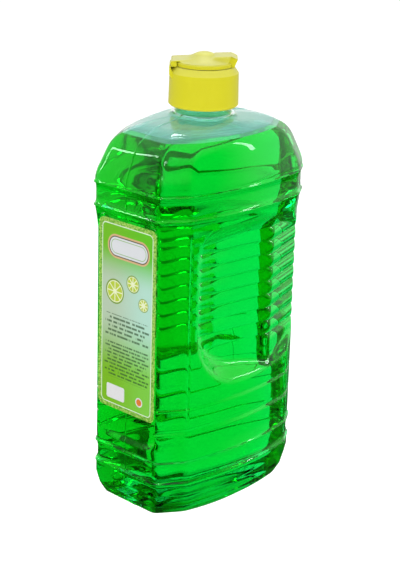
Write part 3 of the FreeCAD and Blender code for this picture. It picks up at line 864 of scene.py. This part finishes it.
def citrus_slice(tree, below, x, z, place_x, place_z, radius):
    """A round slice of fruit: rind, pale pith and eight segments."""
    away_x = math_node(tree, "SUBTRACT", x, place_x)
    away_z = math_node(tree, "SUBTRACT", z, place_z)
    squares = [math_node(tree, "POWER", away, 2.0) for away in (away_x, away_z)]
    reach = math_node(tree, "SQRT", math_node(tree, "ADD", *squares))
    turn = math_node(tree, "MULTIPLY", math_node(tree, "ARCTAN2", away_z, away_x), SEGMENTS / 2)
    spoke = math_node(tree, "MULTIPLY", math_node(tree, "ABSOLUTE", math_node(tree, "SINE", turn)), reach)
    below = inked(tree, below, RIND, math_node(tree, "SUBTRACT", reach, radius))
    below = inked(tree, below, PITH, math_node(tree, "SUBTRACT", reach, radius * PITH_SHARE))
    round_part = math_node(tree, "SUBTRACT", reach, radius * FLESH_SHARE)
    between_spokes = math_node(tree, "SUBTRACT", SPOKE_WIDTH, spoke)
    return inked(tree, below, FLESH, math_node(tree, "MAXIMUM", round_part, between_spokes))


def small_bars(tree, below, x, z, pitch, high, low, half_width):
    """Rows of short dark bars, in place of small print."""
    rows = math_node(tree, "DIVIDE", z, pitch)
    row = math_node(tree, "FLOOR", rows)
    across = math_node(tree, "SUBTRACT", math_node(tree, "FRACT", rows), 0.5)
    spot = node(tree, "ShaderNodeCombineXYZ")
    tree.links.new(math_node(tree, "MULTIPLY", x, WORD_PITCH), spot.inputs[0])
    tree.links.new(math_node(tree, "MULTIPLY", row, ROW_SPREAD), spot.inputs[1])
    words = noise_texture(tree, spot.outputs[0], 1.0, 1.0, "2D")
    gap = math_node(tree, "MULTIPLY", math_node(tree, "SUBTRACT", WORD_LEVEL, words), WORD_CRISPNESS)
    swing = math_node(tree, "SINE", math_node(tree, "MULTIPLY", row, RAG_TURN))
    ragged = math_node(tree, "MULTIPLY", swing, RAG)
    end = math_node(tree, "ADD", line_distance(tree, x, half_width), ragged)
    thin = math_node(tree, "MULTIPLY", line_distance(tree, across, BAR_HALF), pitch)
    from_middle = math_node(tree, "SUBTRACT", z, (low + high) / 2)
    block = line_distance(tree, from_middle, (high - low) / 2)
    bar = math_node(tree, "MAXIMUM", math_node(tree, "MAXIMUM", end, gap), thin)
    bar = math_node(tree, "MAXIMUM", bar, block)
    return inked(tree, below, BAR_INK, bar, BAR_STRENGTH, BAR_SOFTNESS)


def label_print():
    """Printed label film: a speckled border, a shaded field, plain shapes; white where it is stuck, with a
    painted glow there.
    """
    material, tree, shader = new_material("label_film")
    where, axes = object_axes(tree)
    x = math_node(tree, "MULTIPLY", axes["X"], 1 / MM)
    z = math_node(tree, "MULTIPLY", axes["Z"], 1 / MM)
    middle = (sum(LABEL_X) / 2, sum(LABEL_Z) / 2)
    half = ((LABEL_X[1] - LABEL_X[0]) / 2 - LABEL_BORDER, (LABEL_Z[1] - LABEL_Z[0]) / 2 - LABEL_BORDER)

    # the field is lime at both ends and pale in the middle, bluer towards its right
    low, pale, high = [blended(tree, left, right, stepped(tree, x, *turn))
                       for left, right, turn in (FIELD_LOW, FIELD_PALE, FIELD_HIGH)]
    field = blended(tree, low, pale, stepped(tree, z, *LOW_TO_PALE_Z))
    field = blended(tree, field, high, stepped(tree, z, *PALE_TO_HIGH_Z))

    # speckles on the border
    speckle = stepped(tree, noise_texture(tree, where, SPECKLE_SCALE, 2.0), *SPECKLE_STEP)
    rim = blended(tree, SPECKLE_DARK, SPECKLE_PALE, speckle)
    border = box_distance(tree, x, z, middle, half, LABEL_BORDER_ROUND)
    colour = inked(tree, rim, field, border)

    # the plain shapes
    for slice_x, slice_z, radius in SLICES:
        colour = citrus_slice(tree, colour, x, z, slice_x, slice_z, radius)
    for pitch, top, bottom, half_width in BARS:
        colour = small_bars(tree, colour, x, z, pitch, top, bottom, half_width)
    plaque = box_distance(tree, x, z, PLAQUE_PLACE, PLAQUE_HALF, PLAQUE_ROUND)
    inset = math_node(tree, "ADD", plaque, PLAQUE_LINE_INSET)
    box = box_distance(tree, x, z, BOX_PLACE, BOX_HALF, BOX_ROUND)
    dot = box_distance(tree, x, z, DOT_PLACE, (DOT_RADIUS, DOT_RADIUS), DOT_RADIUS)
    for ink, distance in (
            (PLAQUE_RIM, math_node(tree, "SUBTRACT", plaque, PLAQUE_RIM_WIDTH)),
            (PLAQUE_FACE, plaque),
            (PLAQUE_EDGE, line_distance(tree, plaque, PLAQUE_EDGE_HALF)),
            (PLAQUE_LINE, line_distance(tree, inset, PLAQUE_LINE_HALF)),
            (BOX_FACE, box),
            (BOX_FACE, dot),
            (DOT_FACE, math_node(tree, "ADD", dot, DOT_RIM)),
            (BORDER_LINE, line_distance(tree, border, LABEL_LINE))):
        colour = inked(tree, colour, ink, distance)

    facing = node(tree, "ShaderNodeSeparateXYZ")
    tree.links.new(node(tree, "ShaderNodeTexCoord").outputs["Normal"], facing.inputs[0])
    stuck = math_node(tree, "GREATER_THAN", facing.outputs["Y"], 0.5)
    tree.links.new(blended(tree, colour, LABEL_BACK, stuck), shader.inputs["Base Color"])
    shader.inputs["Roughness"].default_value = LABEL_ROUGHNESS
    # painted light: the back that faces into the bottle glows, standing in for light that reaches it
    shader.inputs["Emission Color"].default_value = PAINTED_GLOW_COLOUR
    painted_glow_strength = math_node(tree, "MULTIPLY", stuck, PAINTED_GLOW_ON_LABEL_BACK)
    tree.links.new(painted_glow_strength, shader.inputs["Emission Strength"])
    bump_on(tree, shader, noise_texture(tree, where, LABEL_WAVE_SCALE, 1.0), LABEL_WAVE_HEIGHT * MM)
    return material


# ------------------------------------------------------------------ pieces
CLEAR = clear_plastic()
# the wall's inside: nothing is mirrored or bent where liquid wets it; above, it is hazy with drops and
# painted teal, a painted sheen, and in the neck it is painted green, a painted glow of the liquid's light
WET = clear_material("wet_pet", WET_COLOUR, SMOOTH, IOR_WITHIN)
MISTED = clear_material("misted_pet", MISTED_PAINTED_SHEEN, MISTY, IOR_IN_AIR, MISTED_THROUGH)
NECK = clear_material("neck_pet", NECK_PAINTED_GLOW, MISTY, IOR_IN_AIR, NECK_THROUGH)
GREEN = green_liquid("green_liquid", IOR_WITHIN)
GREEN_TOP = green_liquid("green_surface", IOR_IN_AIR)
YELLOW = yellow_plastic()
PRINT = label_print()


def bottle():
    """The blown shell: its outside up to the lip, then its inside back down."""
    outside = np.concatenate((
        underside_grid(0.0), body_grid(0.0, True), dome_grid(0.0, DOME_ROWS_OUTSIDE), neck_grid()))
    inside = np.concatenate((
        underside_grid(WALL), body_grid(WALL, False), dome_grid(WALL, DOME_ROWS_INSIDE)[:-1]))
    shell = np.concatenate((outside, bore_grid(), inside[::-1]))
    vertices, faces = closed_surface(shell, PUSHUP_HEIGHT, PUSHUP_HEIGHT + WALL)
    piece = make_mesh("bottle_shell", vertices, faces, CLEAR, "bottle")
    cavity = range(len(outside) * COUNT, len(vertices))
    paint_faces(piece, NECK, cavity, NECK_ROOT_Z, NECK_TOP_Z - CLEAR_LIP)
    paint_faces(piece, WET, cavity, 0.0, FILL_Z)
    paint_faces(piece, MISTED, cavity, FILL_Z - MIST_BELOW_FILL, NECK_ROOT_Z + MIST_PAST_ROOT)
    piece.visible_shadow = False
    piece.visible_diffuse = False
    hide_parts("bottle")


def liquid():
    """The liquid, pressed a little into the wall so that no air shows between them."""
    wall = WALL - FILL_PRESSED
    grid = np.concatenate((underside_grid(wall), body_grid(wall, False, FILL_Z)))
    rim = grid[-1] * (FILL_RIM_SHRINK, FILL_RIM_SHRINK, 1.0)
    grid = np.concatenate((grid, rim[None]))
    vertices, faces = closed_surface(grid, PUSHUP_HEIGHT + wall, FILL_Z)
    piece = make_mesh("liquid_fill", vertices, faces, GREEN, "bottle")
    paint_faces(piece, GREEN_TOP, range(len(vertices)), FILL_Z - LEVEL_TOLERANCE, NECK_ROOT_Z)
    piece.visible_shadow = False
    piece.visible_diffuse = False
    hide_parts("liquid")


def label():
    """The label: a thin sheet with round corners on the front flat."""
    corners = []
    for side_x, side_z, start in ((1, -1, -90), (1, 1, 0), (-1, 1, 90), (-1, -1, 180)):
        centre_x = LABEL_X[side_x > 0] - side_x * LABEL_ROUND
        centre_z = LABEL_Z[side_z > 0] - side_z * LABEL_ROUND
        for turn in np.radians(start + np.linspace(0, 90, LABEL_CORNER_POINTS)):
            x = centre_x + LABEL_ROUND * math.cos(turn)
            z = centre_z + LABEL_ROUND * math.sin(turn)
            corners.append((x, z))
    count = len(corners)
    front = [(x, -FLAT_Y - LABEL_THICK, z) for x, z in corners]
    back = [(x, -FLAT_Y - LABEL_GAP, z) for x, z in corners]
    faces = [tuple(range(count)), tuple(range(2 * count - 1, count - 1, -1))]
    for k in range(count):
        faces.append((k, k + count, (k + 1) % count + count, (k + 1) % count))
    piece = make_mesh("label_sheet", front + back, faces, PRINT, "bottle", smooth=False)
    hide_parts("label")


def cad_finish(name, material):
    """A CAD node that stays, with a real finish and softened edges."""
    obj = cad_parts[name]
    for place in obj.material_slots:
        place.material = material
    for polygon in obj.data.polygons:
        polygon.use_smooth = True
    bevel = obj.modifiers.new("edges", "BEVEL")
    bevel.width = CAD_EDGE_ROUND * MM
    bevel.segments = 2
    bevel.limit_method = "ANGLE"
    bevel.angle_limit = math.radians(CAD_EDGE_ANGLE)


def lowest_plane(x, y, lengthwise, side):
    """The lowest of some planes that slope along x and of one that slopes to both sides across y."""
    planes = [height + (x - place) * slope for height, place, slope in lengthwise]
    height, place, slope = side
    planes.append(height + (np.abs(y) - place) * slope)
    return np.minimum.reduce(planes)


def lid_height(x, y):
    """Height of the lid's skin over its underside: a dome that runs into the thumb tab and the hinge."""
    share = np.clip(np.hypot(x, y) / LID_FOOT_R, 0, 1)
    wave = 0.5 + 0.5 * np.cos(np.pi * share)
    swell = LID_WAVE_SHARE * wave + (1 - LID_WAVE_SHARE) * (1 - share)
    dome = LID_RIM + (LID_PEAK - LID_RIM) * swell
    tab = lowest_plane(x, y, (TAB_TOP, TAB_END, TAB_ROOT), TAB_SIDE)
    hinge = lowest_plane(x, y, (HINGE_TOP, HINGE_END, HINGE_ROOT), HINGE_SIDE)
    return soft_max(soft_max(dome, tab, TAB_ROUND), hinge, HINGE_ROUND)


def lid_reach(turn):
    """How far the lid's skin reaches in a direction: a circle with the tab and the hinge block."""
    end_x = np.where(np.cos(turn) > 0, TAB_END_X, HINGE_END_X)
    half = np.where(np.cos(turn) > 0, TAB_HALF_Y, HINGE_HALF_Y)
    never_zero = 0.01
    to_end = end_x / np.maximum(np.abs(np.cos(turn)), never_zero)
    to_side = half / np.maximum(np.abs(np.sin(turn)), never_zero)
    return np.maximum(np.minimum(to_end, to_side), LID_SKIN_R)


def lid_skin():
    """A smooth skin over the lid's top."""
    turns = np.radians(np.arange(0, 360, LID_COLUMN_DEGREES))
    count = len(turns)
    steps = np.concatenate((np.linspace(*LID_RINGS), LID_RINGS_BY_EDGE))
    reach = lid_reach(turns)
    axis = Matrix.Rotation(math.radians(CAP_TURN), 3, "Z")
    top, below = [], []
    for step in steps:
        x, y = np.cos(turns) * reach * step, np.sin(turns) * reach * step
        z = lid_height(x, y)
        top.append(np.column_stack((x, y, z + LID_LOW_Z)))
        shrunk_x, shrunk_y = x * LID_SKIN_SHRINK, y * LID_SKIN_SHRINK
        below.append(np.column_stack((shrunk_x, shrunk_y, z + LID_LOW_Z - LID_SKIN)))
    rings = np.array(top + below[::-1])
    vertices = [tuple(axis @ Vector(p)) for p in rings.reshape(-1, 3)]
    faces = [face[::-1] for face in ring_faces(len(rings), count)]
    peak = lid_height(np.array(0.0), np.array(0.0)) + LID_LOW_Z
    vertices += [(0.0, 0.0, float(peak)), (0.0, 0.0, float(peak) - LID_SKIN)]
    centre = len(vertices) - 2
    faces += fan(0, count, centre, True)
    faces += fan((len(rings) - 1) * count, count, centre + 1, False)
    piece = make_mesh("lid_skin", vertices, faces, YELLOW, "lid")


bottle()
liquid()
label()
lid_skin()
cad_finish("cap_base", YELLOW)
cad_finish("cap_lid", YELLOW)


# ------------------------------------------------------------------ studio
# the backdrop stands across from the camera; an EDGE is where a direction's lean starts and ends to count
BACKDROP_SIDE = (-0.686, 0.728, 0.0)
BACKDROP_EDGE = (-0.25, 0.15)
FLOOR_EDGE = (-0.4, -0.05)
CEILING_EDGE = (0.35, 0.7)
# how bright the dim side is in mirrored and in clear things, and the light on everything else
ROOM_MIRRORED = 0.03
ROOM_THROUGH = 0.25
PLAIN_LIGHT = 0.58

FLOOR_HALF = 2.0
FLOOR_COLOUR = (0.95, 0.95, 0.95)
FLOOR_ROUGHNESS = 0.9
FLOOR_GLOSS = 0.1
FLOOR_LIFT = 0.46

CAMERA_YAW = math.radians(43.29)
CAMERA_PITCH = math.radians(18.73)
CAMERA_ROLL = math.radians(1.65)
CAMERA_ANGLE = math.radians(20.604)
CAMERA_PLACE = (0.48799, -0.51670, 0.34413)
CAMERA_NEAR = 0.01

BOUNCES = 32
GLOSSY_BOUNCES = 16


def soft_light(name, place, aim_z, width, height, power, shows=True):
    """A rectangular soft light aimed at a height on the Z axis; it may show in what is clear or glossy."""
    light = bpy.data.lights.new(name, "AREA")
    light.shape = "RECTANGLE"
    light.size = width
    light.size_y = height
    light.energy = power
    obj = bpy.data.objects.new(name, light)
    obj.location = place
    towards = Vector((0, 0, aim_z)) - Vector(place)
    obj.rotation_euler = towards.to_track_quat("-Z", "Y").to_euler()
    obj.visible_glossy = shows
    obj.visible_transmission = shows
    bpy.context.scene.collection.objects.link(obj)


def direction_share(tree, direction, towards, edge):
    """A smooth step from 0 to 1 for directions that lean towards a side."""
    lean = node(tree, "ShaderNodeVectorMath", operation="DOT_PRODUCT")
    tree.links.new(direction, lean.inputs[0])
    lean.inputs[1].default_value = towards
    return stepped(tree, lean.outputs["Value"], *edge)


def mix_numbers(tree, first, second, share):
    """A number between two sockets or numbers."""
    mix = node(tree, "ShaderNodeMix", data_type="FLOAT")
    for index, value in ((0, share), (2, first), (3, second)):
        feed(tree, mix.inputs[index], value)
    return mix.outputs[0]


def studio_world():
    """A white backdrop and ceiling; the side of the room away from the backdrop is dim in clear things."""
    world = bpy.data.worlds.new("studio")
    bpy.context.scene.world = world
    world.use_nodes = True
    tree = world.node_tree
    background = tree.nodes["Background"]
    path = node(tree, "ShaderNodeLightPath").outputs
    direction = node(tree, "ShaderNodeTexCoord").outputs["Generated"]
    backdrop = direction_share(tree, direction, BACKDROP_SIDE, BACKDROP_EDGE)
    above_floor = direction_share(tree, direction, (0, 0, 1), FLOOR_EDGE)
    ceiling = direction_share(tree, direction, (0, 0, 1), CEILING_EDGE)
    bright = math_node(tree, "MAXIMUM", math_node(tree, "MULTIPLY", backdrop, above_floor), ceiling)
    room = mix_numbers(tree, ROOM_MIRRORED, ROOM_THROUGH, path["Is Transmission Ray"])
    seen = mix_numbers(tree, room, 1.0, bright)
    shine = math_node(tree, "MAXIMUM", path["Is Glossy Ray"], path["Is Transmission Ray"])
    light = mix_numbers(tree, PLAIN_LIGHT, seen, shine)
    tree.links.new(mix_numbers(tree, light, 1.0, path["Is Camera Ray"]), background.inputs["Strength"])
    background.inputs["Color"].default_value = (1, 1, 1, 1)


def pale_floor():
    """The floor that the bottle stands on."""
    mesh = bpy.data.meshes.new("floor")
    corners = [(x * FLOOR_HALF, y * FLOOR_HALF, 0) for x, y in ((-1, -1), (1, -1), (1, 1), (-1, 1))]
    mesh.from_pydata(corners, [], [(0, 1, 2, 3)])
    obj = bpy.data.objects.new("floor", mesh)
    bpy.context.scene.collection.objects.link(obj)
    material, tree, shader = new_material("floor")
    shader.inputs["Base Color"].default_value = (*FLOOR_COLOUR, 1)
    shader.inputs["Roughness"].default_value = FLOOR_ROUGHNESS
    shader.inputs["Specular IOR Level"].default_value = FLOOR_GLOSS
    shader.inputs["Emission Color"].default_value = (1, 1, 1, 1)
    path = node(tree, "ShaderNodeLightPath").outputs
    seen = math_node(tree, "MAXIMUM", path["Is Camera Ray"], path["Is Transmission Ray"])
    tree.links.new(math_node(tree, "MULTIPLY", seen, FLOOR_LIFT), shader.inputs["Emission Strength"])
    mesh.materials.append(material)
    obj.visible_glossy = False


def photo_camera():
    """A camera at the photograph's angle."""
    sideways, forwards = math.sin(CAMERA_YAW), math.cos(CAMERA_YAW)
    flat = math.cos(CAMERA_PITCH)
    back = Vector((sideways * flat, -forwards * flat, math.sin(CAMERA_PITCH)))
    level = Vector((forwards, sideways, 0))
    rise = back.cross(level)
    right = level * math.cos(CAMERA_ROLL) + rise * math.sin(CAMERA_ROLL)
    up = rise * math.cos(CAMERA_ROLL) - level * math.sin(CAMERA_ROLL)
    camera = bpy.data.cameras.new("camera")
    camera.sensor_fit = "VERTICAL"
    camera.angle_y = CAMERA_ANGLE
    camera.clip_start = CAMERA_NEAR
    obj = bpy.data.objects.new("camera", camera)
    turn = Matrix((right, up, back)).transposed()
    obj.matrix_world = Matrix.Translation(CAMERA_PLACE) @ turn.to_4x4()
    bpy.context.scene.collection.objects.link(obj)
    bpy.context.scene.camera = obj


studio_world()
pale_floor()
soft_light("above_camera", (0.65, -0.75, 0.95), aim_z=0.15, width=0.5, height=0.12, power=2.0)
soft_light("fill", (0.85, -0.95, 0.8), aim_z=0.1, width=1.0, height=0.8, power=6.0, shows=False)
soft_light("overhead", (-0.42, 0.47, 1.1), aim_z=0.18, width=0.3, height=0.12, power=1.5)
soft_light("strip_left", (-0.85, -0.75, 0.55), aim_z=0.12, width=0.03, height=0.6, power=0.8)
soft_light("strip_right", (0.75, 0.85, 0.6), aim_z=0.12, width=0.07, height=0.6, power=1.6)
photo_camera()
bpy.context.scene.view_settings.view_transform = "Standard"
bpy.context.scene.cycles.max_bounces = BOUNCES
bpy.context.scene.cycles.transmission_bounces = BOUNCES
bpy.context.scene.cycles.glossy_bounces = GLOSSY_BOUNCES
